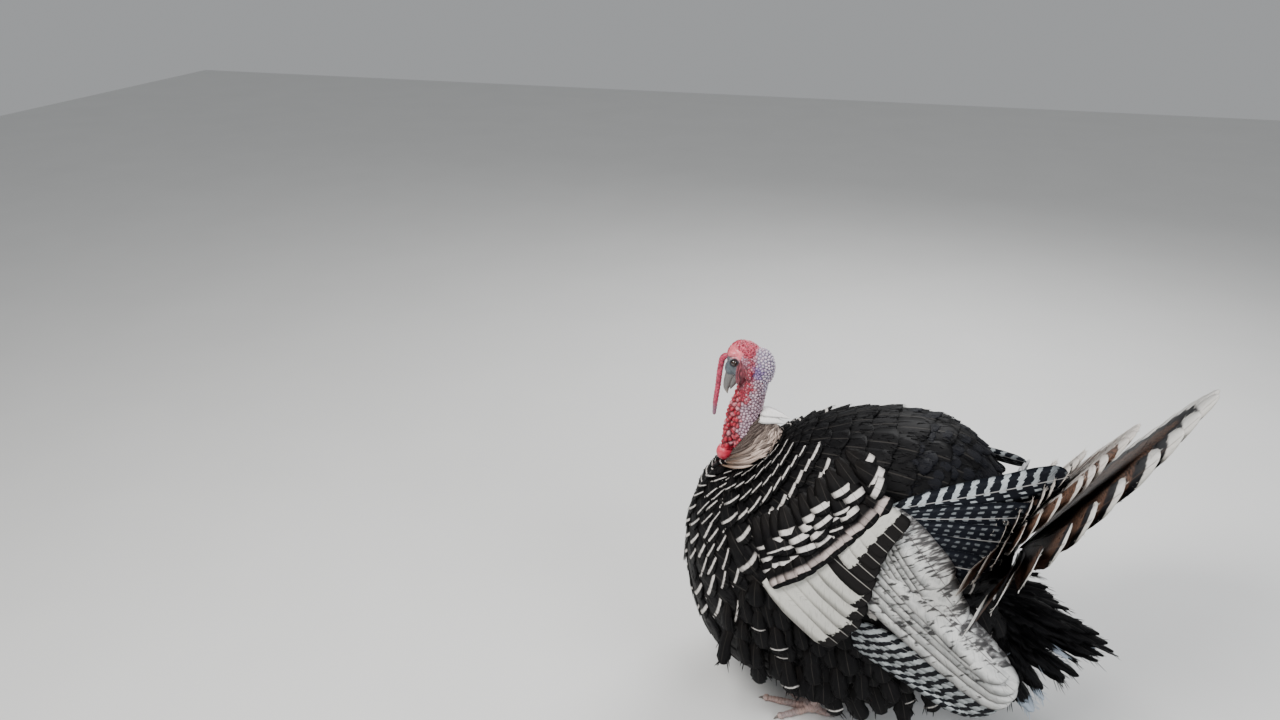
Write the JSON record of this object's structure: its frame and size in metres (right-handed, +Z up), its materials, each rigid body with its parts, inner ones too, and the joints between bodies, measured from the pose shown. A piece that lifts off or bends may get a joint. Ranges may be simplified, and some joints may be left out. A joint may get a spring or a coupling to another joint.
{
  "type": "domestic turkey",
  "caption": "Life-size still model of a bronze-pattern black and white domestic turkey tom in strut: puffed plumage, drooped wings, fanned tail, bare wattled head.",
  "frame": {"origin": "on the floor, under the middle of the bird's bounding box", "axes": "+Z up, +X from the breast towards the tail, -Y the bird's left side"},
  "size_m": [0.9384, 0.7174, 0.7585],
  "materials": {
    "plumage": "glossy black feathers with narrow white bars",
    "neck_skin": "bare red and blue-white skin, pebbled with caruncles",
    "wattle": "bare deep red caruncles, soft sheen",
    "head_skin": "bare skin, pink crown and pale blue face",
    "eye": "dark brown, wet and glossy",
    "beak": "grey-brown horn",
    "snood": "soft wrinkled pink-red flesh",
    "beard": "coarse black bristles",
    "wing_feathers": "cream and mottled grey-white vanes with black edges",
    "flight_feathers": "vanes barred black and white",
    "tail_feathers": "brown vanes finely pencilled black, black band, white tips",
    "tail_coverts": "brown pencilled coverts with white edges",
    "leg_scales": "pinkish-grey overlapping scutes",
    "claw": "dark horn"
  },
  "bodies": {
    "root": {"torso": "plumage", "neck": "neck_skin", "throat_bulb": "wattle", "head": "head_skin", "eye_left": "eye", "eye_right": "eye", "beak_upper": "beak", "beak_lower": "beak", "snood": "snood", "beard": "beard", "wing_left": "wing_feathers", "wing_right": "wing_feathers", "hand_left": "flight_feathers", "hand_right": "flight_feathers", "tail_feathers": "tail_feathers", "tail_coverts": "tail_coverts", "undertail_coverts": "plumage", "thigh_left": "plumage", "shank_left": "leg_scales", "foot_left": "leg_scales", "spur_left": "claw", "claw_middle_left": "claw", "claw_outer_left": "claw", "claw_inner_left": "claw", "claw_hind_left": "claw", "thigh_right": "plumage", "shank_right": "leg_scales", "foot_right": "leg_scales", "spur_right": "claw", "claw_middle_right": "claw", "claw_outer_right": "claw", "claw_inner_right": "claw", "claw_hind_right": "claw"}
  },
  "joints": []
}
